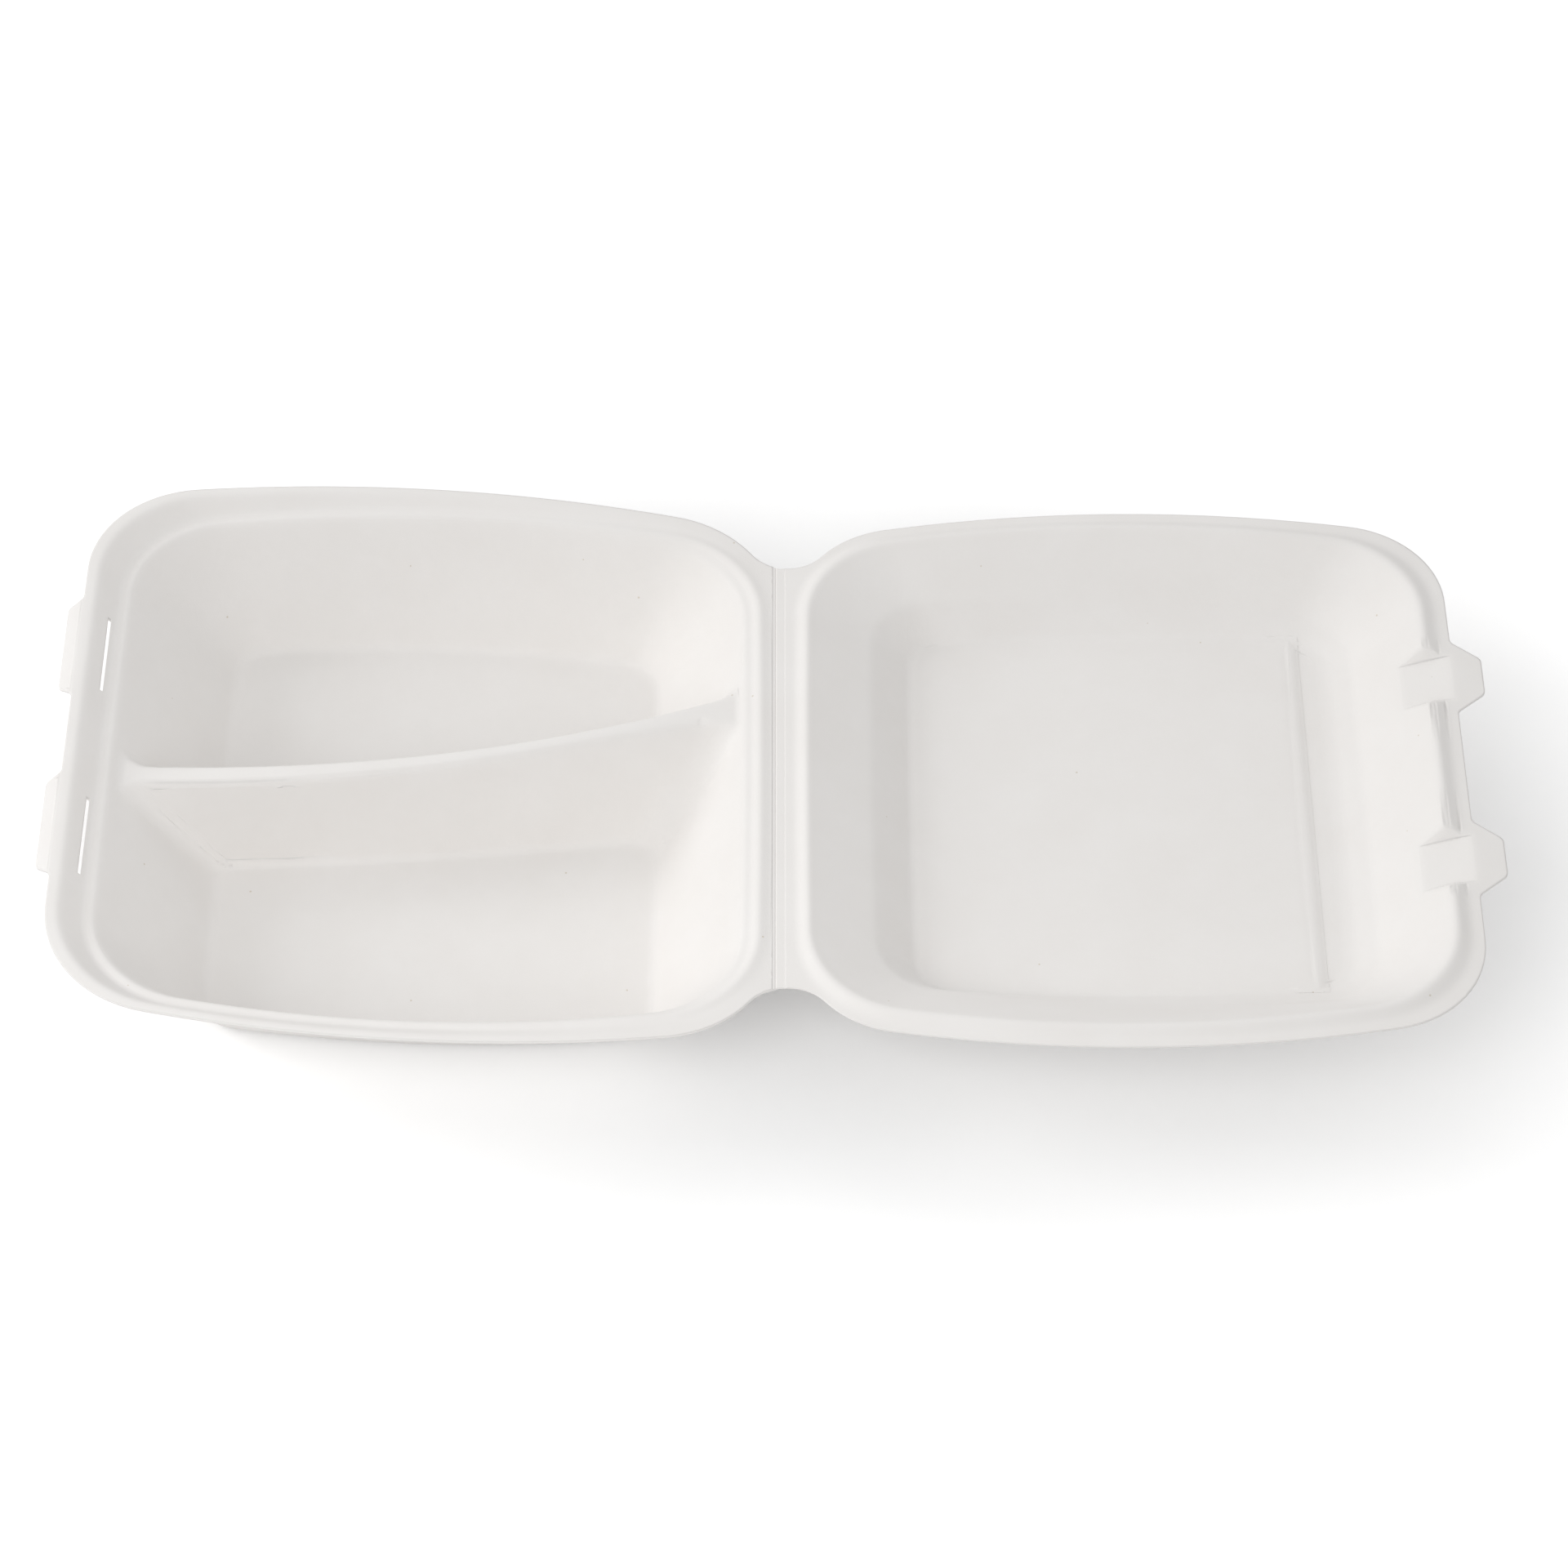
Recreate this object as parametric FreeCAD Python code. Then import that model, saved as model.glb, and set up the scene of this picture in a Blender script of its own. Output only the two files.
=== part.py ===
import FreeCAD, Part
import math
import os

# Hinged takeaway box of moulded sugarcane pulp, lying open. Millimetres.
# Origin: centre of the tray's foot on the table. +X towards the lid, +Z up.

# sheet
trayWall = 1.0
lidWall = 0.6

# fold between tray and lid
foldX = 108.05
foldRadius = 1.1
foldHalf = 1.75
foldGap = 0.3
scoreX, scoreWidth, scoreDepth = 107.1, 0.7, 0.25
creaseX = 107.0
creaseZ = 40.0
lidEdgeX = 113.7
webInset = 27.2
lidOpen = 3.4

# tray: its lip, the wall's top inside that, and the floor inside the leaning wall
lipFront, lipSide, lipFrontZ = 116.0, 115.2, 47.5
rimFront, rimHinge, rimSide = 15.0, 9.7, 10.8
wallRunFront, wallRunHinge, wallRunSide = 31.0, 26.3, 21.7
wallTopFront, wallTopHinge, wallTopSide = lipFront - rimFront, creaseX - rimHinge, lipSide - rimSide
floorFront, floorHinge = wallTopFront - wallRunFront, wallTopHinge - wallRunHinge
floorSide = wallTopSide - wallRunSide
wallTopZ = 39.3
beadZ = 41.0
roofGap = 22.5
floorFilletRun = 1.8
wallStrips = 4
dividerTop, dividerTopWall = 37.0, 1.1
dividerStations = (-100.0, 0.0, 100.0)
dividerCrest = (-7.4, 3.1, 35.9)
dividerHalf = (2.4, 2.0, 1.5)
dividerNearBase = (-15.8, -7.2, 7.8)
dividerFarRun = 8.0

# Bead round the rim: steps out from the wall's top at the front, the hinge and the sides,
# heights from the crest at the front and the hinge, bow of the sides, corner radius.
beadSteps = (
    (0.6, 2.6, 0.6, -1.1, -2.0, 12.0, 33.6),
    (1.6, 3.9, 1.5, 0.0, 0.0, 12.0, 34.0),
    (2.8, 5.2, 2.7, 0.0, 0.0, 12.0, 35.0),
    (4.0, 6.4, 3.9, -1.3, -0.5, 12.1, 35.5),
)
lipBandFront, lipBandHinge, lipBandSide = 4.0, 1.4, 2.5

# lid
lidLength, lidSideInset = 211.4, 3.4
lidSide = lipSide - lidSideInset
panelStep = 1.0
panelInset = 48.9

# Lid from its panel out to its edge: insets from the edge at the hinge, the far end and
# the sides, heights at the hinge and the far end, bows of ends and sides, corner radius.
lidSteps = (
    (38.5, 40.4, 38.8, -22.2, -22.2, 0.8, 3.6, 9.0),
    (36.0, 36.9, 36.3, -21.2, -21.6, 0.8, 3.8, 11.0),
    (24.0, 29.9, 27.3, -8.8, -18.4, 0.8, 6.0, 20.0),
    (4.4, 9.6, 8.5, 1.2, 1.2, 1.0, 12.0, 32.8),
    (3.4, 8.6, 7.4, 2.0, 2.0, 1.0, 12.2, 34.0),
    (2.4, 7.5, 6.3, 1.8, 1.8, 1.0, 12.3, 34.0),
    (0.3, 4.0, 3.9, 0.0, 0.0, 0.8, 12.5, 34.0),
)

# closing tabs: tongues on the lid, slits and ears on the tray
tabSpacing = 38.0
padWidth, padDepth, padLean = 18.4, 5.6, 0.5
padInset, padLip = 16.8, 0.4
tongueLength, tongueRoot, tongueTip = 9.2, 31.6, 15.0
slitInset, slitLength, slitWidth = 8.5, 31.0, 1.0
earSpacing, earLength, earRoot, earTip = 37.0, 4.5, 42.0, 34.0
earDrop, earBend = 25.0, 0.5
tabRounding = 3.0

cornerFloor, cornerWall, cornerLip = 12.0, 33.0, 38.7
bowFloor, bowWall, bowLip = 5.3, 12.0, 12.6


def vec(p, z=0.0):
    return FreeCAD.Vector(p[0], p[1], z)


def circleThrough(p, q, r):
    """Centre and radius of the circle through three points."""
    ax, ay = q[0] - p[0], q[1] - p[1]
    bx, by = r[0] - p[0], r[1] - p[1]
    d = 2 * (ax * by - ay * bx)
    a2, b2 = ax * ax + ay * ay, bx * bx + by * by
    ux, uy = (by * a2 - ay * b2) / d, (ax * b2 - bx * a2) / d
    return (p[0] + ux, p[1] + uy), math.hypot(ux, uy)


def meet(c1, r1, c2, r2, near):
    """Crossing of two circles that lies closest to a point."""
    dx, dy = c2[0] - c1[0], c2[1] - c1[1]
    d = math.hypot(dx, dy)
    a = (d * d + r1 * r1 - r2 * r2) / (2 * d)
    h = math.sqrt(r1 * r1 - a * a)
    mx, my = c1[0] + a * dx / d, c1[1] + a * dy / d
    both = [(mx + h * dy / d, my - h * dx / d), (mx - h * dy / d, my + h * dx / d)]
    return min(both, key=lambda p: math.hypot(p[0] - near[0], p[1] - near[1]))


def onCircle(c, r, p):
    d = math.hypot(p[0] - c[0], p[1] - c[1])
    return (c[0] + (p[0] - c[0]) * r / d, c[1] + (p[1] - c[1]) * r / d)


def arc(c, r, p, q):
    mid = ((p[0] + q[0]) / 2, (p[1] + q[1]) / 2)
    return Part.Arc(vec(p), vec(onCircle(c, r, mid)), vec(q)).toShape()


def loop(sides, corners, guesses):
    """Closed wire of four bowed sides joined by tangent corner arcs.

    A side is (centre, radius, inside): inside says the region lies in the circle.
    Corner i joins side i to the next side.
    """
    spots = []
    for i, r in enumerate(corners):
        (c1, r1, in1), (c2, r2, in2) = sides[i], sides[(i + 1) % 4]
        c = meet(c1, r1 - r if in1 else r1 + r, c2, r2 - r if in2 else r2 + r, guesses[i])
        spots.append((c, r, onCircle(c1, r1, c), onCircle(c2, r2, c)))
    edges = []
    for i in range(4):
        c, r, start, end = spots[i]
        edges.append(arc(c, r, start, end))
        side, nxt = sides[(i + 1) % 4], spots[(i + 1) % 4]
        edges.append(arc(side[0], side[1], end, nxt[2]))
    return Part.Wire(edges)


# A level of a profile: front and hinge give the reach along X from the origin of the
# profile, side the half-width, then heights at both ends, bows and the corner radius.
def level(front, hinge, side, zFront, zHinge, bowEnd, bowSide, corner):
    return dict(front=front, hinge=hinge, side=side, zFront=zFront, zHinge=zHinge,
                bowEnd=bowEnd, bowSide=bowSide, corner=corner)


def middle(lv):
    return (lv["zFront"] + lv["zHinge"]) / 2


def between(low, high, z):
    """Level on the straight wall between two others, cut level at height z."""
    cut = {}
    for k in low:
        if k == "front":
            a, b = low["zFront"], high["zFront"]
        elif k == "hinge":
            a, b = low["zHinge"], high["zHinge"]
        else:
            a, b = middle(low), middle(high)
        cut[k] = low[k] + (z - a) / (b - a) * (high[k] - low[k])
    cut["zFront"] = cut["zHinge"] = z
    return cut


def levelled(lv):
    flat = dict(lv)
    flat["zFront"] = flat["zHinge"] = middle(lv)
    return flat


def grown(base, out):
    """Level moved outwards all round."""
    new = dict(base)
    for k in ("front", "hinge", "side", "corner"):
        new[k] = base[k] + out
    return new


def sidesOf(lv, stretch=1.0):
    mid = (lv["hinge"] - lv["front"]) / 2
    a, b = (lv["hinge"] + lv["front"]) / 2 * stretch, lv["side"]
    rx = (b * b + lv["bowEnd"] ** 2) / (2 * lv["bowEnd"])
    ry = (a * a + lv["bowSide"] ** 2) / (2 * lv["bowSide"])
    east = ((mid + a - rx, 0.0), rx, True)
    north = ((mid, b - ry), ry, True)
    west = ((mid - a + rx, 0.0), rx, True)
    south = ((mid, ry - b), ry, True)
    return mid, a, b, east, north, west, south


def ring(lv):
    """Whole outline of a level; its plane may lean about Y."""
    lean = math.atan2(lv["zHinge"] - lv["zFront"], lv["hinge"] + lv["front"])
    mid, a, b, east, north, west, south = sidesOf(lv, 1 / math.cos(lean))
    r = lv["corner"]
    guesses = [(mid + a, b), (mid - a, b), (mid - a, -b), (mid + a, -b)]
    wire = loop([east, north, west, south], [r] * 4, guesses)
    wire.rotate(FreeCAD.Vector(mid, 0, 0), FreeCAD.Vector(0, 1, 0), -math.degrees(lean))
    wire.translate(FreeCAD.Vector(0, 0, (lv["zHinge"] + lv["zFront"]) / 2))
    return wire


def compartmentRing(lv, dividerY, near, inner):
    """Outline of one compartment: three tray walls and the divider's face."""
    mid, a, b, east, north, west, south = sidesOf(lv)
    c, r = circleThrough(*zip(dividerStations, dividerY))
    corner = lv["corner"]
    if near:
        sides = [east, (c, r, False), west, south]
        corners = [inner[1], inner[0], corner, corner]
        guesses = [(mid + a, dividerY[2]), (mid - a, dividerY[0]), (mid - a, -b), (mid + a, -b)]
    else:
        sides = [east, north, west, (c, r, True)]
        corners = [corner, corner, inner[0], inner[1]]
        guesses = [(mid + a, b), (mid - a, b), (mid - a, dividerY[0]), (mid + a, dividerY[2])]
    wire = loop(sides, corners, guesses)
    wire.translate(FreeCAD.Vector(0, 0, lv["zFront"]))
    return wire


def underside(levels, wall, firstSlope):
    """Levels of the sheet's other face, one wall thickness below and outside."""
    def shifted(line, before):
        moved = []
        for i, (u, z) in enumerate(line):
            n = []
            if i == 0:
                n.append(before)
            else:
                n.append(normal(line[i - 1], (u, z)))
            n.append(normal((u, z), line[i + 1]) if i + 1 < len(line) else n[0])
            dot = n[0][0] * n[1][0] + n[0][1] * n[1][1]
            f = wall / (1 + dot)
            moved.append((u + (n[0][0] + n[1][0]) * f, z + (n[0][1] + n[1][1]) * f))
        return moved

    def normal(p, q):
        d = math.hypot(q[0] - p[0], q[1] - p[1])
        return ((q[1] - p[1]) / d, -(q[0] - p[0]) / d)

    front = shifted([(v["front"], v["zFront"]) for v in levels], firstSlope)
    hinge = shifted([(v["hinge"], v["zHinge"]) for v in levels], firstSlope)
    side = shifted([(v["side"], (v["zFront"] + v["zHinge"]) / 2) for v in levels], firstSlope)
    out = []
    for v, f, h, s in zip(levels, front, hinge, side):
        new = dict(v)
        new.update(front=f[0], zFront=f[1], hinge=h[0], zHinge=h[1], side=s[0])
        new["corner"] = v["corner"] + s[0] - v["side"]
        out.append(new)
    return out


def lipPlaneZ(x):
    return creaseZ + (creaseX - x) * (lipFrontZ - creaseZ) / (creaseX + lipFront)


def onLip(front, hinge, side, bowEnd, bowSide, corner):
    return level(front, hinge, side, lipPlaneZ(-front), lipPlaneZ(hinge), bowEnd, bowSide, corner)


def edgeLevel():
    return onLip(lipFront, creaseX, lipSide, 0.6, bowLip, cornerLip)


def lidEdgeLevel():
    return level(0.0, lidLength, lidSide, 0.0, 0.0, 0.6, 12.65, 34.7)


def beyond(edge, out):
    """Level outside an edge, in its plane, so that trimming meets no rim of the loft."""
    lv = grown(edge, out)
    lean = (edge["zHinge"] - edge["zFront"]) / (edge["hinge"] + edge["front"])
    lv["hinge"] += 1.0
    lv["zFront"] -= out * lean
    lv["zHinge"] += (out + 1.0) * lean
    return lv


def trayLevels():
    """Upper face of the tray from the floor's rounded edge out past the lip."""
    sharp = level(floorFront, floorHinge, floorSide, trayWall, trayWall, 0.8, bowFloor, cornerFloor)
    top = level(wallTopFront, wallTopHinge, wallTopSide, wallTopZ, wallTopZ, 1.0, bowWall,
                cornerWall)
    run = floorFilletRun
    steps = []
    for out, up in ((-run, 0.0), (-0.15 * run, 0.22 * run)):
        lv = grown(sharp, out)
        lv["zFront"] = lv["zHinge"] = trayWall + up
        steps.append(lv)
    steps += [between(sharp, top, trayWall + 0.9 * run), top]
    for front, hinge, side, zFront, zHinge, bow, corner in beadSteps:
        steps.append(level(wallTopFront + front, wallTopHinge + hinge, wallTopSide + side,
                           beadZ + zFront, beadZ + zHinge, 1.0, bow, corner))
    steps.append(onLip(lipFront - lipBandFront, creaseX - lipBandHinge, lipSide - lipBandSide,
                       0.8, bowLip, cornerLip - 1.3))
    return steps + [beyond(edgeLevel(), 20.0)]


def lidLevels():
    """Face of the open lid that looks up, from its edge-plane origin at the hinge."""
    steps = [level(-near, lidLength - far, lidSide - side, *rest)
             for near, far, side, *rest in lidSteps]
    return steps + [beyond(lidEdgeLevel(), 20.0)]


def space(levels, roof):
    """Room above a face, closed by a skirt and a flat roof."""
    wires = [ring(v) for v in levels]
    last = dict(levels[-1])
    last["zFront"] = last["zHinge"] = roof
    wires.append(ring(last))
    return Part.makeLoft(wires, True, True)


def compartments(levels, wall, crestZ):
    """Both rooms below the divider's crest, for the upper face or the underside."""
    foot = [levelled(v) for v in levels[:3]]
    rise, spread = dividerTop - trayWall, wall
    rooms = []
    for near in (True, False):
        sign = 1 if near else -1
        crest = [c - sign * h for c, h in zip(dividerCrest, dividerHalf)]
        if near:
            base = list(dividerNearBase)
        else:
            base = [c + dividerFarRun for c in crest]
        inner = (6.0, 9.0) if near else (7.0, 9.0)

        def faceAt(z, out=0.0):
            f = (z - trayWall) / rise
            ys = []
            for b, c in zip(base, crest):
                slant = math.hypot(1.0, (c - b) / rise)
                ys.append(b + f * (c - b) + sign * (out + spread * slant))
            return ys

        wires = []
        run = floorFilletRun
        for lv, out in zip(foot, (-run, -0.15 * run)):
            ys = faceAt(lv["zFront"], out - 0.35 * spread)
            small = [r + out for r in inner]
            wires.append(compartmentRing(lv, ys, near, small))
        low, high = foot[2]["zFront"], crestZ - 1.0
        for i in range(wallStrips):
            z = low + (high - low) * i / wallStrips
            small = [r + i / wallStrips for r in inner]
            lv = between(levels[2], levels[3], z)
            wires.append(compartmentRing(lv, faceAt(z), near, small))
        for z, out in ((crestZ - 1.0, 0.0), (crestZ, 0.9)):
            lv = between(levels[2], levels[3], z)
            if spread:
                out = out * 0.3
            wires.append(compartmentRing(lv, faceAt(z, out), near, [r + 1.0 for r in inner]))
        rooms.append(Part.makeLoft(wires, True, True))
    return rooms


def archCircle(c1, r1, c2, r2, bottom):
    """Circle that touches two corner circles from outside and dips to a given Y."""
    low, high = 4.0, 60.0
    for _ in range(60):
        r = (low + high) / 2
        y = bottom + r
        x1 = c1[0] + math.sqrt((r + r1) ** 2 - (y - c1[1]) ** 2)
        x2 = c2[0] - math.sqrt((r + r2) ** 2 - (y - c2[1]) ** 2)
        if x1 > x2:
            high = r
        else:
            low = r
    return ((x1 + x2) / 2, y), r


def cornerOf(lv, hingeEnd):
    mid, a, b, east, north, west, south = sidesOf(lv)
    r = lv["corner"]
    end = east if hingeEnd else west
    x = mid + a if hingeEnd else mid - a
    return meet(end[0], end[1] - r, north[0], north[1] - r, (x, b)), r


def face(wire):
    return Part.Face(wire)


def disc(c, r, side):
    return face(Part.Wire(Part.makeCircle(r, FreeCAD.Vector(c[0], side * c[1], 0))))


def webbedOutline(lv, arch, cutX, facing):
    """Edge outline that runs through both round notches to a straight cut at the fold."""
    mid, a, b, east, north, west, south = sidesOf(lv)
    hingeSide, farSide = (east, west) if facing > 0 else (west, east)
    r = lv["corner"]
    (cx, cy), ra = arch
    near = meet(hingeSide[0], hingeSide[1] - r, north[0], north[1] - r, (mid + facing * a, b))
    far = meet(farSide[0], farSide[1] - r, north[0], north[1] - r, (mid - facing * a, b))
    stops = [(cutX, cy - math.sqrt(ra ** 2 - (cutX - cx) ** 2)), onCircle(near, r, (cx, cy)),
             onCircle(north[0], north[1], near), onCircle(north[0], north[1], far),
             onCircle(farSide[0], farSide[1], far)]
    rounds = [((cx, cy), ra), (near, r), north[:2], (far, r)]
    edges = []
    for sign in (1, -1):
        for (c, q), p1, p2 in zip(rounds, stops, stops[1:]):
            edges.append(arc((c[0], sign * c[1]), q, (p1[0], sign * p1[1]), (p2[0], sign * p2[1])))
    last, first = stops[-1], stops[0]
    edges.append(arc(farSide[0], farSide[1], last, (last[0], -last[1])))
    edges.append(Part.makeLine(vec((first[0], -first[1])), vec(first)))
    return face(Part.Wire(Part.__sortEdges__(edges)))


def tab(x0, x1, y, root, tip):
    """Trapezoid tab seen from above, root at x0."""
    pts = [(x0, y - root / 2), (x1, y - tip / 2), (x1, y + tip / 2), (x0, y + root / 2)]
    return face(Part.makePolygon([vec(p) for p in pts + pts[:1]]))


def trimPrism(outlines, low, high, radius, corners):
    """Upright prism on several overlapping outlines, with chosen corners rounded."""
    prisms = [f.extrude(FreeCAD.Vector(0, 0, high - low)) for f in outlines]
    solid = prisms[0].fuse(prisms[1:]).removeSplitter().Solids[0]
    solid.translate(FreeCAD.Vector(0, 0, low))
    chosen = []
    for e in solid.Edges:
        a, b = e.Vertexes[0].Point, e.Vertexes[-1].Point
        upright = abs(a.x - b.x) + abs(a.y - b.y) < 1e-4
        if upright and any(math.hypot(a.x - p[0], a.y - p[1]) < 0.9 for p in corners):
            chosen.append(e)
    return solid.makeFillet(radius, chosen)


def wedge(points, y0, y1):
    """Prism along Y on a profile of (x, z) points."""
    pts = [FreeCAD.Vector(x, y0, z) for x, z in points]
    return face(Part.makePolygon(pts + pts[:1])).extrude(FreeCAD.Vector(0, y1 - y0, 0))


def joined(first, others):
    shape = first.fuse(others)
    return shape.removeSplitter()


def earSpace(y, wall):
    """Room above one ear, which turns down from the plane of the lip."""
    dip, tilt = math.tan(math.radians(earDrop)), (lipFrontZ - creaseZ) / (creaseX + lipFront)
    mitre = wall * (math.hypot(1, dip) - math.hypot(1, tilt)) / (dip + tilt)
    bend, far = -lipFront - earBend + mitre, -lipFront - 10
    z = lipPlaneZ(bend) - wall * math.hypot(1, tilt)
    return wedge([(bend, z), (far, z - (bend - far) * dip), (far, 69.0), (bend, 69.0)], y - 30, y + 30)


def tabOutline(x0, x1, y, root, tip):
    """Trapezoid tab and the corners to round, both where it leaves the edge and at its tip."""
    corners = [(x1, y - tip / 2), (x1, y + tip / 2)]
    edge = -lipFront if x1 < 0 else lidLength
    half = root / 2 + (tip - root) / 2 * (edge - x0) / (x1 - x0)
    return tab(x0, x1, y, root, tip), corners + [(edge, y - half), (edge, y + half)]


def trimmed(sheet, outline, tabs, low, high):
    """Sheet cut to its edge outline and its tabs, as a steel-rule die does."""
    outlines, corners = [outline], []
    for x0, x1, y, root, tip in tabs:
        shape, spots = tabOutline(x0, x1, y, root, tip)
        outlines.append(shape)
        corners += spots
    return sheet.common(trimPrism(outlines, low, high, tabRounding, corners))


def makeTray(arch):
    levels = trayLevels()
    under = underside(levels, trayWall, (0.0, -1.0))
    bodies = []
    for lvs, wall, crestZ in ((levels, 0.0, dividerTop), (under, trayWall, dividerTop - dividerTopWall)):
        start = between(lvs[2], lvs[3], crestZ)
        room = space([start] + lvs[3:], lipFrontZ + roofGap)
        room = joined(room, compartments(lvs, wall, crestZ))
        bodies.append(room.fuse([earSpace(sign * earSpacing, wall) for sign in (1, -1)]))
    outline = webbedOutline(edgeLevel(), arch, foldX - foldHalf, 1)
    tabs = [(1.0 - lipFront, -lipFront - earLength, sign * earSpacing, earRoot, earTip)
            for sign in (1, -1)]
    tray = trimmed(bodies[1].cut(bodies[0]), outline, tabs, -5.0, lipFrontZ + 2 * roofGap)
    for sign in (1, -1):
        tray = tray.cut(slit(sign * tabSpacing))
    return tray


def slit(y):
    """Long narrow cut that takes a tongue when the box is shut."""
    half, r = slitLength / 2, slitWidth / 2
    x = slitInset - lipFront
    corners = [(x - r, y - half), (x + r, y - half), (x + r, y + half), (x - r, y + half)]
    outline = Part.makePolygon([vec(p, 20.0) for p in corners + corners[:1]])
    return face(outline).extrude(FreeCAD.Vector(0, 0, 40))


def padSpace(y, wall):
    """Room above one closing pad, a ramp between leaning flanks that runs up to the lip."""
    slope = padDepth / (padInset - padLip)
    drop = wall * math.hypot(1, slope)
    lip = lidLength - padLip
    inner, end, roof = lip - padInset - 14.0, lip + (drop - wall) / slope, 12.0
    z = (inner - lip) * slope - drop
    body = wedge([(inner, z), (end, -wall), (end, roof), (inner, roof)], y - 60, y + 60)
    half = padWidth / 2 + wall * (math.hypot(1, padLean) - padLean * math.hypot(1, slope))
    for sign in (1, -1):
        pts = [(half - 20 * padLean, z - 20), (half + 30 * padLean, z + 30), (70, z + 30), (70, z - 20)]
        flank = [FreeCAD.Vector(inner, y + sign * d, h) for d, h in pts]
        flank = face(Part.makePolygon(flank + flank[:1]))
        body = body.cut(flank.extrude(FreeCAD.Vector(60, 0, 60 * slope)))
    return body


def panelSlab(wall):
    """Raised middle panel of the lid, ending in a leaning step near the front."""
    z = lidSteps[0][3] - wall
    far = lidLength - panelInset
    pts = [(20.0, z - 3.0), (far + 1.0 + 3.0 * 1.5, z - 3.0),
           (far - 0.5, z + panelStep), (20.0, z + panelStep)]
    return wedge(pts, -lidSide, lidSide)


def makeLid(arch):
    levels = lidLevels()
    under = underside(levels, lidWall, (0.0, -1.0))
    bodies = []
    for lvs, wall in ((levels, 0.0), (under, lidWall)):
        room = space(lvs, 30.0)
        room = room.cut(panelSlab(wall))
        for sign in (1, -1):
            room = room.fuse(padSpace(sign * tabSpacing, wall))
        bodies.append(room)
    sheet = bodies[1].cut(bodies[0])

    local = ((arch[0][0] - lidEdgeX, arch[0][1]), arch[1])
    outline = webbedOutline(lidEdgeLevel(), local, foldX + foldHalf - lidEdgeX, -1)
    tabs = [(lidLength - 1.0, lidLength + tongueLength, sign * tabSpacing, tongueRoot, tongueTip)
            for sign in (1, -1)]
    lid = trimmed(sheet, outline, tabs, -40.0, 20.0)
    lid.translate(FreeCAD.Vector(lidEdgeX, 0, creaseZ))
    return lid


def raiseLid(shape):
    shape.rotate(FreeCAD.Vector(foldX, 0, creaseZ + foldRadius), FreeCAD.Vector(0, 1, 0), -lidOpen)
    return shape


def makeFold(arch):
    """Scored strip that bends between the tray and the lid."""
    start, end = foldX - foldHalf, foldX + foldHalf - foldGap
    top = [(start, lipPlaneZ(start))]
    for dx, dz in ((-0.5, 0.0), (0.0, -scoreDepth), (0.5, 0.0)):
        top.append((scoreX + dx * scoreWidth, creaseZ + dz))
    lidEnd = raiseLid(Part.makeLine(FreeCAD.Vector(end, 0, creaseZ),
                                    FreeCAD.Vector(end, 0, creaseZ - lidWall)))
    low, high = sorted([v.Point for v in lidEnd.Vertexes], key=lambda q: q.z)
    profile = top + [(high.x, high.z), (low.x, low.z), (start, lipPlaneZ(start) - trayWall)]
    strip = wedge(profile, -arch[0][1], arch[0][1])
    for sign in (1, -1):
        notch = disc(arch[0], arch[1], sign).extrude(FreeCAD.Vector(0, 0, 20))
        notch.translate(FreeCAD.Vector(0, 0, creaseZ - 10))
        strip = strip.cut(notch)
    return strip


def export(shape, name):
    solid = shape.Solids[0]
    print(name, "solids", len(shape.Solids), "valid", solid.isValid(), "cm3", solid.Volume / 1000)
    solid.exportStep("parts/" + name + ".step")


def main():
    os.makedirs("parts", exist_ok=True)
    trayCorner, trayR = cornerOf(edgeLevel(), True)
    lidCorner, lidR = cornerOf(lidEdgeLevel(), False)
    arch = archCircle(trayCorner, trayR, (lidCorner[0] + lidEdgeX, lidCorner[1]), lidR,
                     lipSide - webInset)
    export(makeTray(arch), "tray")
    export(makeFold(arch), "fold")
    export(raiseLid(makeLid(arch)), "lid")


main()
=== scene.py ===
import math
import bmesh
import bpy
from mathutils import Matrix, Vector
from mathutils.bvhtree import BVHTree
from mathutils.kdtree import KDTree


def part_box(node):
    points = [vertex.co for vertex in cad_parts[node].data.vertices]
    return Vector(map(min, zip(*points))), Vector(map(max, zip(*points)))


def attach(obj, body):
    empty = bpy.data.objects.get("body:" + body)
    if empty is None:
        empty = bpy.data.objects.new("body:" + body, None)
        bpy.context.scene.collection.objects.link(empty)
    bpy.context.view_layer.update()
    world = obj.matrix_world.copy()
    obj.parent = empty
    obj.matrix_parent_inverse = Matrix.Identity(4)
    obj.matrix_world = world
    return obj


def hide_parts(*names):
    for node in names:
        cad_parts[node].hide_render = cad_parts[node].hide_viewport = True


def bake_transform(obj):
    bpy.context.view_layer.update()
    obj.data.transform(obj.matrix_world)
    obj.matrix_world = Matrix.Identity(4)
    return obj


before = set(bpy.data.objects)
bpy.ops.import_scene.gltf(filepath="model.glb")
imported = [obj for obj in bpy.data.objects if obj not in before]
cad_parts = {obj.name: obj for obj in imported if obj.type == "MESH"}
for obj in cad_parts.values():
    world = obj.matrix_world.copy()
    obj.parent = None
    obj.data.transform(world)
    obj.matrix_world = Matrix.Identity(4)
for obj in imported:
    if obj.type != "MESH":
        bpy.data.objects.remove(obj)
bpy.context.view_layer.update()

print("frame loaded:", ", ".join(sorted(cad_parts)))

mmPerMetre = 1000
mixFirst, mixSecond, mixResult = 6, 7, 2     # a Mix node's sockets and output for colours
waveRepeat = 2 * math.pi / 20                # length after which a Wave texture of scale 1 repeats


def toLinear(hexColour):
    values = [int(hexColour[i:i + 2], 16) / 255 for i in (1, 3, 5)]
    return tuple(v / 12.92 if v <= 0.04045 else ((v + 0.055) / 1.055) ** 2.4 for v in values) + (1.0,)


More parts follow.
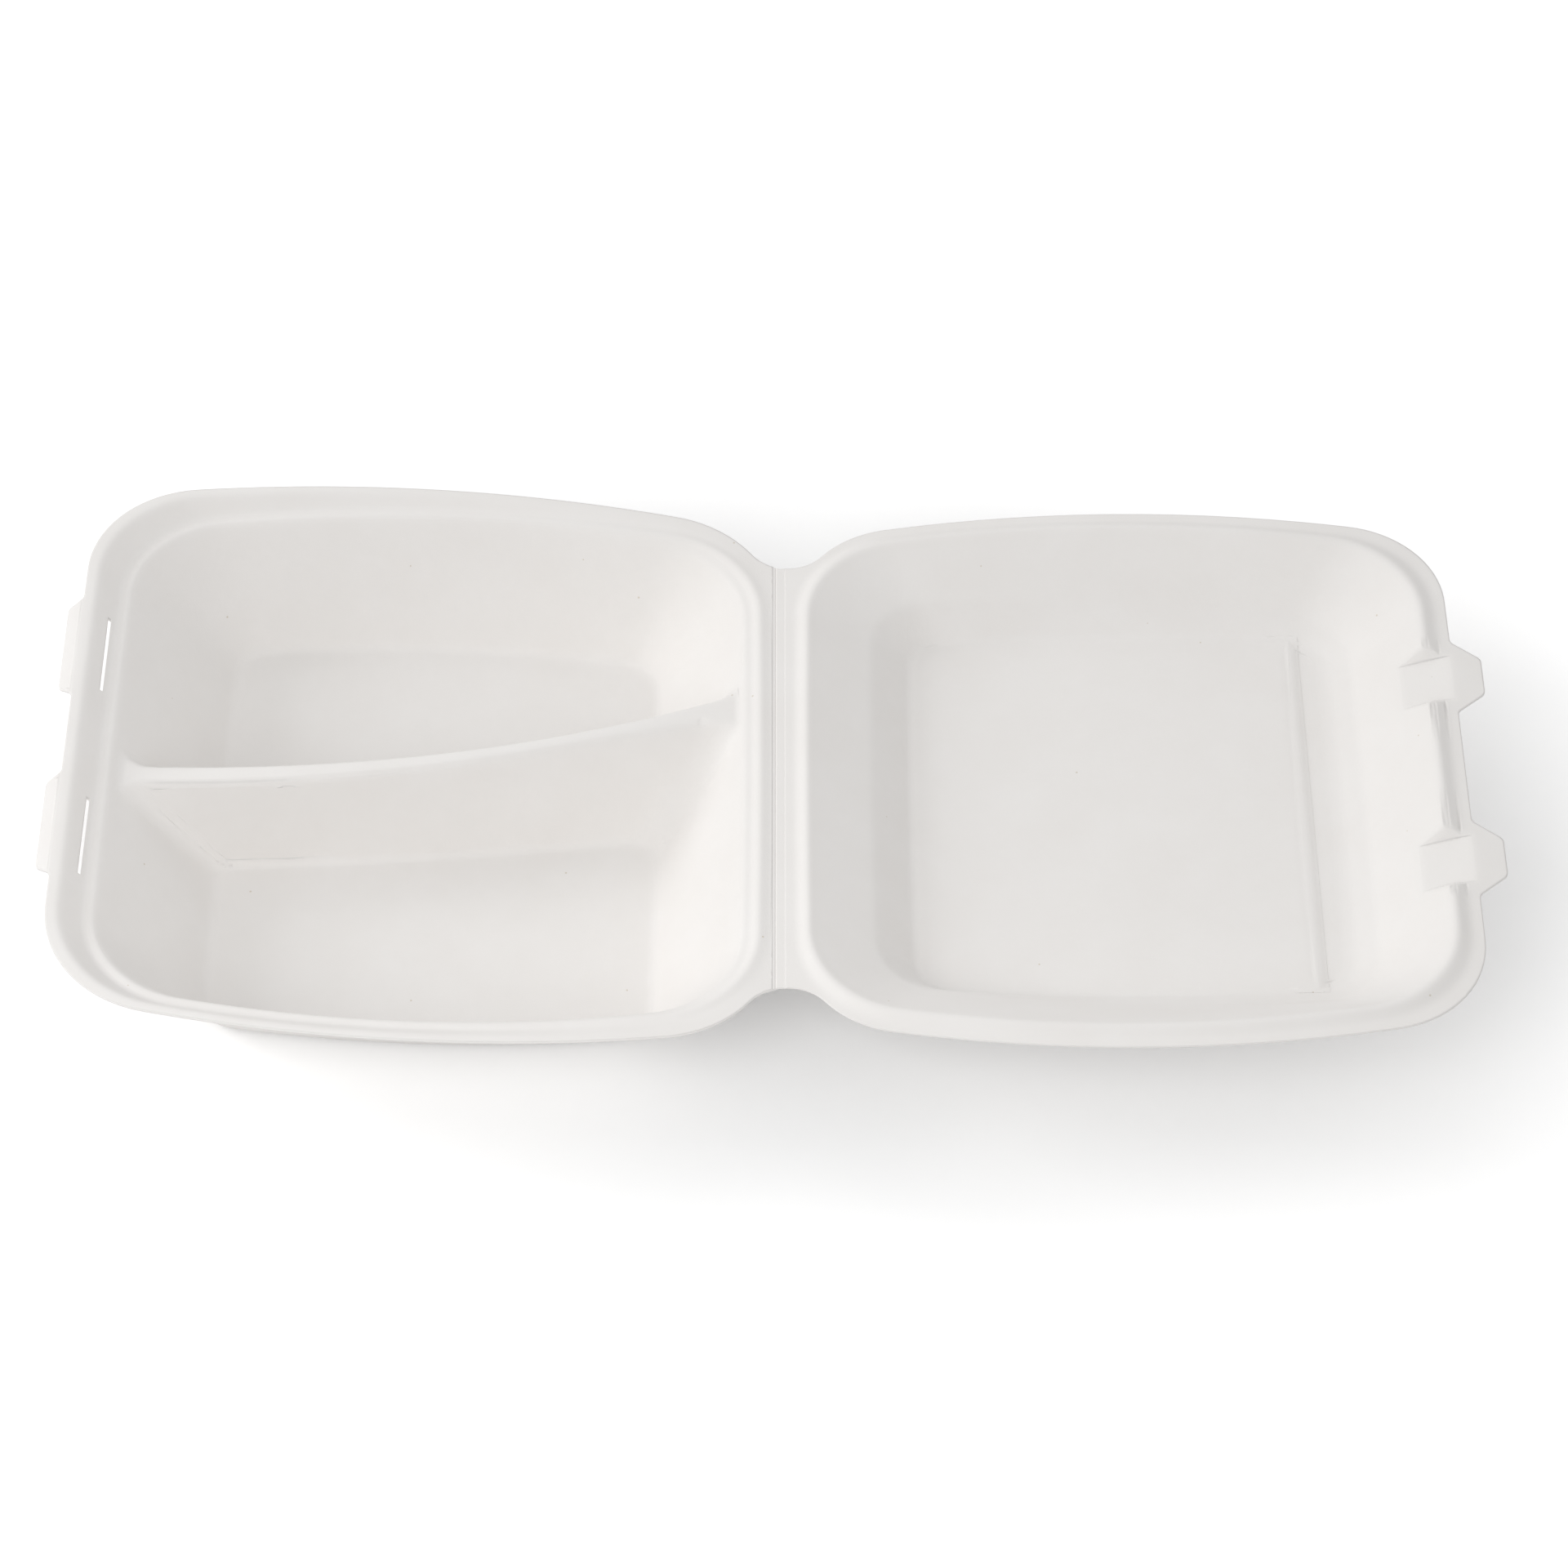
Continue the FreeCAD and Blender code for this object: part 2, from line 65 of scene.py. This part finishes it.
# adds a node, sets its sockets or properties, and links other nodes' outputs to it
def addNode(tree, kind, settings=None, links=None):
    node = tree.nodes.new(kind)
    for key, value in (settings or {}).items():
        if isinstance(key, int) or key in node.inputs:
            node.inputs[key].default_value = value
        else:
            setattr(node, key, value)
    for key, source in (links or {}).items():
        tree.links.new(source, node.inputs[key])
    return node


def startMaterial(name):
    material = bpy.data.materials.new(name)
    material.use_nodes = True
    tree = material.node_tree
    return material, tree, tree.nodes["Principled BSDF"]


# Moulded sugarcane pulp, bleached and hot pressed: dry, matt and a slightly warm white, with
# short fibres felted at random. The eye gets no shine, faint thick and thin places, and a few
# small tan flecks of rind. Lengths in mm.
pulp = {
    "colour": "#EFEDEB",
    "thickColour": "#EAE7E4",    # where the fibre lies thicker
    "thickSize": 24.0,           # clumps of felted fibre
    "thickDetail": 3.0,
    "thickRoughness": 0.6,
    "fleckColour": "#DAD3C8",
    "fleckSpacing": 13.0,
    "fleckSize": 0.35,
    "waveSize": 16.0,            # the sheet's own slow unevenness
    "waveDepth": 0.10,
    "waveDetail": 1.0,
    "fibreSize": 0.6,            # real fibres are 0.02 mm wide; drawn as wide as shows
    "fibreDepth": 0.03,
    "fibreDetail": 2.0,
    "screenPitch": 1.2,          # the screen's wires are 0.4 mm apart; drawn as wide as shows
    "screenDepth": 0.04,
    "roughness": 0.88,
    "ior": 1.47,
}


def makePulp(name, screened):
    material, tree, shader = startMaterial(name)
    place = addNode(tree, "ShaderNodeTexCoord").outputs["Object"]
    thick = addNode(tree, "ShaderNodeTexNoise",
                    {"Scale": mmPerMetre / pulp["thickSize"], "Detail": pulp["thickDetail"],
                     "Roughness": pulp["thickRoughness"]}, {"Vector": place})
    felt = addNode(tree, "ShaderNodeMix",
                   {"data_type": "RGBA", mixFirst: toLinear(pulp["colour"]),
                    mixSecond: toLinear(pulp["thickColour"])}, {"Factor": thick.outputs["Fac"]})
    cells = addNode(tree, "ShaderNodeTexVoronoi", {"Scale": mmPerMetre / pulp["fleckSpacing"]},
                    {"Vector": place})
    fleck = addNode(tree, "ShaderNodeMath",
                    {"operation": "LESS_THAN", 1: pulp["fleckSize"] / pulp["fleckSpacing"]},
                    {0: cells.outputs["Distance"]})
    flecked = addNode(tree, "ShaderNodeMix",
                      {"data_type": "RGBA", mixSecond: toLinear(pulp["fleckColour"])},
                      {"Factor": fleck.outputs["Value"], mixFirst: felt.outputs[mixResult]})
    tree.links.new(flecked.outputs[mixResult], shader.inputs["Base Color"])

    wave = addNode(tree, "ShaderNodeTexNoise",
                   {"Scale": mmPerMetre / pulp["waveSize"], "Detail": pulp["waveDetail"]},
                   {"Vector": place})
    relief = addNode(tree, "ShaderNodeBump", {"Distance": pulp["waveDepth"] / mmPerMetre},
                     {"Height": wave.outputs["Fac"]})
    fibre = addNode(tree, "ShaderNodeTexNoise",
                    {"Scale": mmPerMetre / pulp["fibreSize"], "Detail": pulp["fibreDetail"]},
                    {"Vector": place})
    relief = addNode(tree, "ShaderNodeBump", {"Distance": pulp["fibreDepth"] / mmPerMetre},
                     {"Height": fibre.outputs["Fac"], "Normal": relief.outputs["Normal"]})
    for direction in "XYZ" if screened else "":
        wires = addNode(tree, "ShaderNodeTexWave",
                        {"bands_direction": direction,
                         "Scale": waveRepeat * mmPerMetre / pulp["screenPitch"]}, {"Vector": place})
        relief = addNode(tree, "ShaderNodeBump", {"Distance": pulp["screenDepth"] / mmPerMetre},
                         {"Height": wires.outputs["Fac"], "Normal": relief.outputs["Normal"]})
    tree.links.new(relief.outputs["Normal"], shader.inputs["Normal"])
    shader.inputs["Roughness"].default_value = pulp["roughness"]
    shader.inputs["IOR"].default_value = pulp["ior"]
    return material


pressedPulp = makePulp("pressedSugarcanePulp", False)       # faces that the smooth press tool met
screenedPulp = makePulp("screenedSugarcanePulp", True)      # undersides, which lay on the forming screen
print("pulp materials made")


# The divider's crest is a broad rounded ridge, wider than the two edges that the solid gives it.
# Metres; three values stand for x of -reach, 0 and reach.
crest = {
    "reach": 0.100,
    "line": (-0.0074, 0.0031, 0.0359),       # its middle in y
    "half": (0.0024, 0.0020, 0.0015),        # half its width in the solid
    "nearFoot": (-0.0158, -0.0072, 0.0078),  # foot of the near face
    "farRun": 0.008,                         # how far out the foot of the far face lies
    "floorZ": 0.001,                         # the widening grows from here
    "topZ": 0.037,                           # to here
    "fadeZ": 0.0393,                         # and is gone here
    "farGain": (0.0021, 0.0013, 0.0004),     # how far the far side moves out
    "nearGain": 0.0013,                      # the same on the near side
    "nearGrowth": 0.0042,                    # and what is added towards the right end
    "growthStart": 0.030,
    "growthRun": 0.055,
    "fade": 0.012,                           # the floor beyond a foot follows over this length
}


# value at x of the parabola through three values at -reach, 0 and reach
def along(values, x):
    first, middle, last = values
    t = x / crest["reach"]
    return middle + t * (last - first) / 2 + t * t * ((first + last) / 2 - middle)


def widenCrest(bm):
    for vert in bm.verts:
        x, y, z = vert.co
        if abs(x) > crest["reach"] or z > crest["fadeZ"]:
            continue
        lift = min(max((z - crest["floorZ"]) / (crest["topZ"] - crest["floorZ"]), 0), 1)
        lift *= min((crest["fadeZ"] - z) / (crest["fadeZ"] - crest["topZ"]), 1)
        middle, half = along(crest["line"], x), along(crest["half"], x)
        if y > middle:
            side, run = 1, crest["farRun"]
            gain = along(crest["farGain"], x)
        else:
            side, run = -1, middle - half - along(crest["nearFoot"], x)
            growth = max((x - crest["growthStart"]) / crest["growthRun"], 0) ** 2
            gain = crest["nearGain"] + crest["nearGrowth"] * growth
        out = side * (y - middle)
        beyond = max(out - half - run * (1 - min(lift, 1)), 0)
        vert.co.y += side * gain * lift * min(out / half, 1) * max(1 - beyond / crest["fade"], 0)


# Tray and lid keep their solids' forms, and every edge gets the soft round that wet fibre takes
# in a mould. Metres, and degrees.
sheets = {
    "weld": 0.000002,
    "creaseAngle": 9.0,     # between faces that count as an edge of the form
    "creaseStep": 0.0005,   # distance between the points kept along such an edge
    "softness": 0.0017,     # half the width over which an edge is rounded
    "rowStep": 0.5,         # distance between rows of points beside an edge, in softness
    "reach": 1.4,           # how far the rows go, in softness
    "rowRounds": 9,
    "rings": ((6, 0.5, 0.0), (8, 1.0, 0.5)),   # each height's samples: count, size in softness, turn
    "castHeight": 0.3,      # samples are looked for from this far off
    "sameFace": 0.006,      # a sample further off in height lies on another face
    "smoothAngle": 50.0,
    "panelEnd": (0.0545, 0.0645),   # the lid panel's step, in from the lid's tips
    "panelHalf": 0.075,             # half its length
    "panelSoftness": 0.0034,
}


panelNear, panelFar = (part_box("lid")[1].x - d for d in sheets["panelEnd"])


def softnessAt(name, place):
    onStep = panelFar < place.x < panelNear and abs(place.y) < sheets["panelHalf"]
    return sheets["panelSoftness" if name == "lid" and onStep else "softness"]


# evenly spaced points along every edge of the form
def creaseTree(bm):
    points = []
    for edge in bm.edges:
        if len(edge.link_faces) == 2 and edge.calc_face_angle() > math.radians(sheets["creaseAngle"]):
            a, b = (v.co for v in edge.verts)
            count = max(1, round((b - a).length / sheets["creaseStep"]))
            points += [a.lerp(b, i / count) for i in range(count + 1)]
    tree = KDTree(len(points))
    for i, p in enumerate(points):
        tree.insert(p, i)
    tree.balance()
    return tree


# splits the faces beside each edge into narrow rows, so that it can be rounded
def addRows(bm, name, tree):
    known = {}

    def distance(vert):
        if vert not in known:
            known[vert] = tree.find(vert.co)[2] / softnessAt(name, vert.co)
        return known[vert]

    for _ in range(sheets["rowRounds"]):
        chosen = []
        for edge in bm.edges:
            a, b = edge.verts
            da, db = distance(a), distance(b)
            if min(da, db) > sheets["reach"]:
                continue
            middle = (a.co + b.co) / 2
            dm = tree.find(middle)[2] / softnessAt(name, middle)
            if max(abs(da - dm), abs(db - dm)) > sheets["rowStep"] / 2:
                chosen.append(edge)
        if not chosen:
            break
        bmesh.ops.subdivide_edges(bm, edges=chosen, cuts=1, use_single_edge=True)
        bmesh.ops.triangulate(bm, faces=[f for f in bm.faces if len(f.verts) > 3])


# moves each point to the mean height of the face around it
def soften(bm, name, original):
    samples = []
    for count, size, turn in sheets["rings"]:
        for i in range(count // 2):     # each sample stands for its opposite too
            angle = 2 * math.pi * (i + turn) / count
            samples.append((math.cos(angle) * size, math.sin(angle) * size))
    heights = []
    for vert in bm.verts:
        side = 1 if vert.normal.z > 0 else -1
        radius = softnessAt(name, vert.co)
        x, y, z = vert.co
        total, weight = z, 1
        for dx, dy in samples:
            hits = [original.ray_cast(
                Vector((x + k * dx * radius, y + k * dy * radius, side * sheets["castHeight"])),
                Vector((0, 0, -side)))[0] for k in (1, -1)]
            if hits[0] and hits[1] and max(abs(h.z - z) for h in hits) < sheets["sameFace"]:
                total += hits[0].z + hits[1].z
                weight += 2
        heights.append(total / weight)
    for vert, z in zip(bm.verts, heights):
        vert.co.z = z


def makeSheet(name):
    bpy.ops.object.select_all(action="DESELECT")
    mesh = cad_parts[name].data.copy()
    piece = bpy.data.objects.new(name + "Sheet", mesh)
    bpy.context.collection.objects.link(piece)
    bm = bmesh.new()
    bm.from_mesh(mesh)
    bmesh.ops.remove_doubles(bm, verts=bm.verts, dist=sheets["weld"])
    if name == "tray":
        widenCrest(bm)
    bm.normal_update()
    original = BVHTree.FromBMesh(bm)
    addRows(bm, name, creaseTree(bm))
    bm.normal_update()
    soften(bm, name, original)
    bm.normal_update()
    for face in bm.faces:
        face.material_index = 0 if face.normal.z > 0 else 1
    bm.to_mesh(mesh)
    bm.free()
    mesh.materials.clear()
    mesh.materials.append(pressedPulp)
    mesh.materials.append(screenedPulp)
    piece.select_set(True)
    bpy.context.view_layer.objects.active = piece
    bpy.ops.object.shade_smooth_by_angle(angle=math.radians(sheets["smoothAngle"]))
    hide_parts(name)
    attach(piece, name)
    print(name, "sheet:", len(mesh.polygons), "triangles")


makeSheet("tray")
makeSheet("lid")


# The fold: a strip of the same sheet with a pressed score, between tray and lid. Metres, and degrees.
fold = {
    "endDepth": 0.0001,      # points this near a sheet's end belong to its cut end
    "straightHalf": 0.08,    # the cut end is straight this far out from the middle
    "steps": 14,
    "scoreInset": 0.0008,
    "scoreWidth": 0.0007,
    "scoreDepth": 0.00025,
    "scoreClear": 0.7,       # other lines across keep this many score widths away
    "scoreReach": 0.00001,   # points this near the score's middle belong to it
    "lineReach": 0.000001,   # and to any line across
    "archDip": 0.0004,       # the web's ends are hollowed this much between tray and lid
    "smoothAngle": 30.0,
}


# upper and lower corner and half the length of the cut end that a sheet turns to the fold
def cutEnd(name, toLid):
    lo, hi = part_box(name)
    edge = hi.x if toLid else lo.x
    points = [v.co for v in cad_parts[name].data.vertices if abs(v.co.x - edge) < fold["endDepth"]]
    straight = [p for p in points if abs(p.y) < fold["straightHalf"]]
    return max(straight, key=lambda p: p.z), min(straight, key=lambda p: p.z), max(abs(p.y) for p in points)


def pick(piece, test):
    bm = bmesh.from_edit_mesh(piece.data)
    for vert in bm.verts:
        vert.select = test(vert.co)
    bm.select_flush(True)
    bm.select_flush(False)
    bmesh.update_edit_mesh(piece.data)


def makeFold():
    (upper0, lower0, half0), (upper1, lower1, half1) = cutEnd("tray", True), cutEnd("lid", False)
    width, top, thick = upper1.x - upper0.x, upper0.z, upper0.z - lower0.z
    middle = upper0.x + width / 2
    bpy.ops.object.select_all(action="DESELECT")
    bpy.ops.mesh.primitive_cube_add(size=1, location=(middle, 0, top - thick / 2),
                                    scale=(width, 2 * half0, thick))
    piece = bpy.context.object
    piece.name = "foldStrip"
    bpy.ops.object.transform_apply(location=True, rotation=True, scale=True)
    bpy.ops.object.mode_set(mode="EDIT")
    for high, corner in ((True, upper1), (False, lower1)):     # the lid's end is thinner
        pick(piece, lambda p: p.x > middle and (p.z > top - thick / 2) == high)
        drop = corner.z - (top if high else top - thick)
        bpy.ops.transform.translate(value=(corner.x - upper1.x, 0, drop))
    score = upper0.x + fold["scoreInset"]
    cuts = [upper0.x + width * i / fold["steps"] for i in range(1, fold["steps"])]
    cuts = [x for x in cuts if abs(x - score) > fold["scoreWidth"] * fold["scoreClear"]]
    for x in cuts + [score + fold["scoreWidth"] * k for k in (-0.5, 0, 0.5)]:
        bpy.ops.mesh.select_all(action="SELECT")
        bpy.ops.mesh.bisect(plane_co=(x, 0, 0), plane_no=(1, 0, 0))
    pick(piece, lambda p: abs(p.x - score) < fold["scoreReach"] and p.z > top - thick / 2)
    bpy.ops.transform.translate(value=(0, 0, -fold["scoreDepth"]))
    bm = bmesh.from_edit_mesh(piece.data)
    for x in sorted({round(v.co.x, 7) for v in bm.verts}):     # ends follow the web's arch
        t = (x - upper0.x) / width
        dip = (half1 - half0) * t - 4 * fold["archDip"] * t * (1 - t)
        for side in (1, -1):
            pick(piece, lambda p: abs(p.x - x) < fold["lineReach"] and p.y * side > 0)
            bpy.ops.transform.translate(value=(0, side * dip, 0))
    bpy.ops.object.mode_set(mode="OBJECT")
    bpy.ops.object.shade_smooth_by_angle(angle=math.radians(fold["smoothAngle"]))
    piece.data.materials.append(pressedPulp)
    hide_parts("fold")
    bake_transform(piece)
    print("fold strip:", len(piece.data.polygons), "faces, half lengths", round(half0, 5), round(half1, 5))


makeFold()


# A white floor under soft light: a broad lamp low on the left, two more that fill, and the
# room's own light. Metres, and watts.
studio = {
    "floorSize": 8.0,
    "floorColour": "#FAFAFA",
    "floorCentre": (0.11, 0.0, 0.0),    # the shaded ground under and around the box
    "shadeSize": (0.26, 0.16, 1.0),
    "shadeEdge": (0.8, 1.3),            # it ends between these, in shadeSize
    "glowUnder": 0.14,                  # the floor's own light there
    "glowOpen": 0.32,                   # and out in the open
    "roomLevel": 0.61,
    "aim": (0.11, 0, 0.02),
    "lamps": [
        {"place": (-1.2, 0.2, 0.6), "size": 0.6, "power": 5.6},     # low on the left
        {"place": (0.0, 1.1, 0.9), "size": 0.9, "power": 2.2},      # behind
        {"place": (-0.1, -0.5, 0.5), "size": 0.4, "power": 1.3},    # in front of the tray
    ],
}


# 1 for what the camera sees straight, or in gloss and glass
def addSeen(tree):
    ray = addNode(tree, "ShaderNodeLightPath")
    seen = addNode(tree, "ShaderNodeMath", {"operation": "MAXIMUM"},
                   {0: ray.outputs["Is Camera Ray"], 1: ray.outputs["Is Glossy Ray"]})
    return addNode(tree, "ShaderNodeMath", {"operation": "MAXIMUM"},
                   {0: seen.outputs["Value"], 1: ray.outputs["Is Transmission Ray"]})


def makeFloor():
    bpy.ops.object.select_all(action="DESELECT")
    bpy.ops.mesh.primitive_plane_add(size=studio["floorSize"])
    floor = bpy.context.object
    floor.name = "floor"
    material, tree, shader = startMaterial("whiteFloor")
    shader.inputs["Base Color"].default_value = toLinear(studio["floorColour"])
    shader.inputs["Roughness"].default_value = 1.0
    place = addNode(tree, "ShaderNodeTexCoord").outputs["Object"]
    away = addNode(tree, "ShaderNodeVectorMath",
                   {"operation": "SUBTRACT", 1: studio["floorCentre"]}, {0: place})
    scaled = addNode(tree, "ShaderNodeVectorMath", {"operation": "DIVIDE", 1: studio["shadeSize"]},
                     {0: away.outputs["Vector"]})
    far = addNode(tree, "ShaderNodeVectorMath", {"operation": "LENGTH"}, {0: scaled.outputs["Vector"]})
    level = addNode(tree, "ShaderNodeMapRange",
                    {"interpolation_type": "SMOOTHSTEP",
                     "From Min": studio["shadeEdge"][0], "From Max": studio["shadeEdge"][1],
                     "To Min": studio["glowUnder"], "To Max": studio["glowOpen"]},
                    {"Value": far.outputs["Value"]})
    glow = addNode(tree, "ShaderNodeMath", {"operation": "MULTIPLY"},
                   {0: level.outputs["Result"], 1: addSeen(tree).outputs["Value"]})
    shine = addNode(tree, "ShaderNodeEmission", {}, {"Strength": glow.outputs["Value"]})
    both = addNode(tree, "ShaderNodeAddShader", {},
                   {0: shader.outputs["BSDF"], 1: shine.outputs["Emission"]})
    tree.links.new(both.outputs["Shader"], tree.nodes["Material Output"].inputs["Surface"])
    floor.data.materials.append(material)


def makeLight():
    world = bpy.data.worlds.new("softRoom")
    bpy.context.scene.world = world
    world.use_nodes = True
    tree = world.node_tree
    level = addNode(tree, "ShaderNodeMapRange", {"To Min": studio["roomLevel"], "To Max": 1.0},
                    {"Value": addSeen(tree).outputs["Value"]})
    tree.nodes["Background"].inputs["Color"].default_value = (1, 1, 1, 1)
    tree.links.new(level.outputs["Result"], tree.nodes["Background"].inputs["Strength"])
    for i, row in enumerate(studio["lamps"]):
        light = bpy.data.lights.new("softLamp" + str(i), "AREA")
        light.size, light.energy = row["size"], row["power"]
        lamp = bpy.data.objects.new(light.name, light)
        bpy.context.collection.objects.link(lamp)
        lamp.location = row["place"]
        towards = Vector(studio["aim"]) - lamp.location
        lamp.rotation_euler = towards.to_track_quat("-Z", "Y").to_euler()


makeFloor()
makeLight()


# The camera stands in front, well above, and leans a little. Metres and degrees, and mm for
# the lens and the sensor.
view = {
    "target": (0.111741, 0.029269, 0.0),
    "down": 48.87,
    "turn": 3.28,
    "roll": 4.30,
    "distance": 1.614,
    "lens": 113.48,
    "sensor": 36,
}


def makeCamera():
    turn, down, roll = (math.radians(view[key]) for key in ("turn", "down", "roll"))
    right = Vector((math.cos(turn), -math.sin(turn), 0))
    level = Vector((math.sin(turn), math.cos(turn), 0))
    forward = level * math.cos(down) - Vector((0, 0, math.sin(down)))
    up = right.cross(forward)
    axes = Matrix((right * math.cos(roll) + up * math.sin(roll),
                   up * math.cos(roll) - right * math.sin(roll), -forward)).transposed()
    camera = bpy.data.cameras.new("camera")
    camera.lens = view["lens"]
    camera.sensor_width = view["sensor"]
    cameraObject = bpy.data.objects.new("camera", camera)
    bpy.context.collection.objects.link(cameraObject)
    stand = Vector(view["target"]) - forward * view["distance"]
    cameraObject.matrix_world = Matrix.Translation(stand) @ axes.to_4x4()
    bpy.context.scene.camera = cameraObject


makeCamera()
bpy.context.scene.view_settings.view_transform = "Standard"
print("floor, light and camera set")
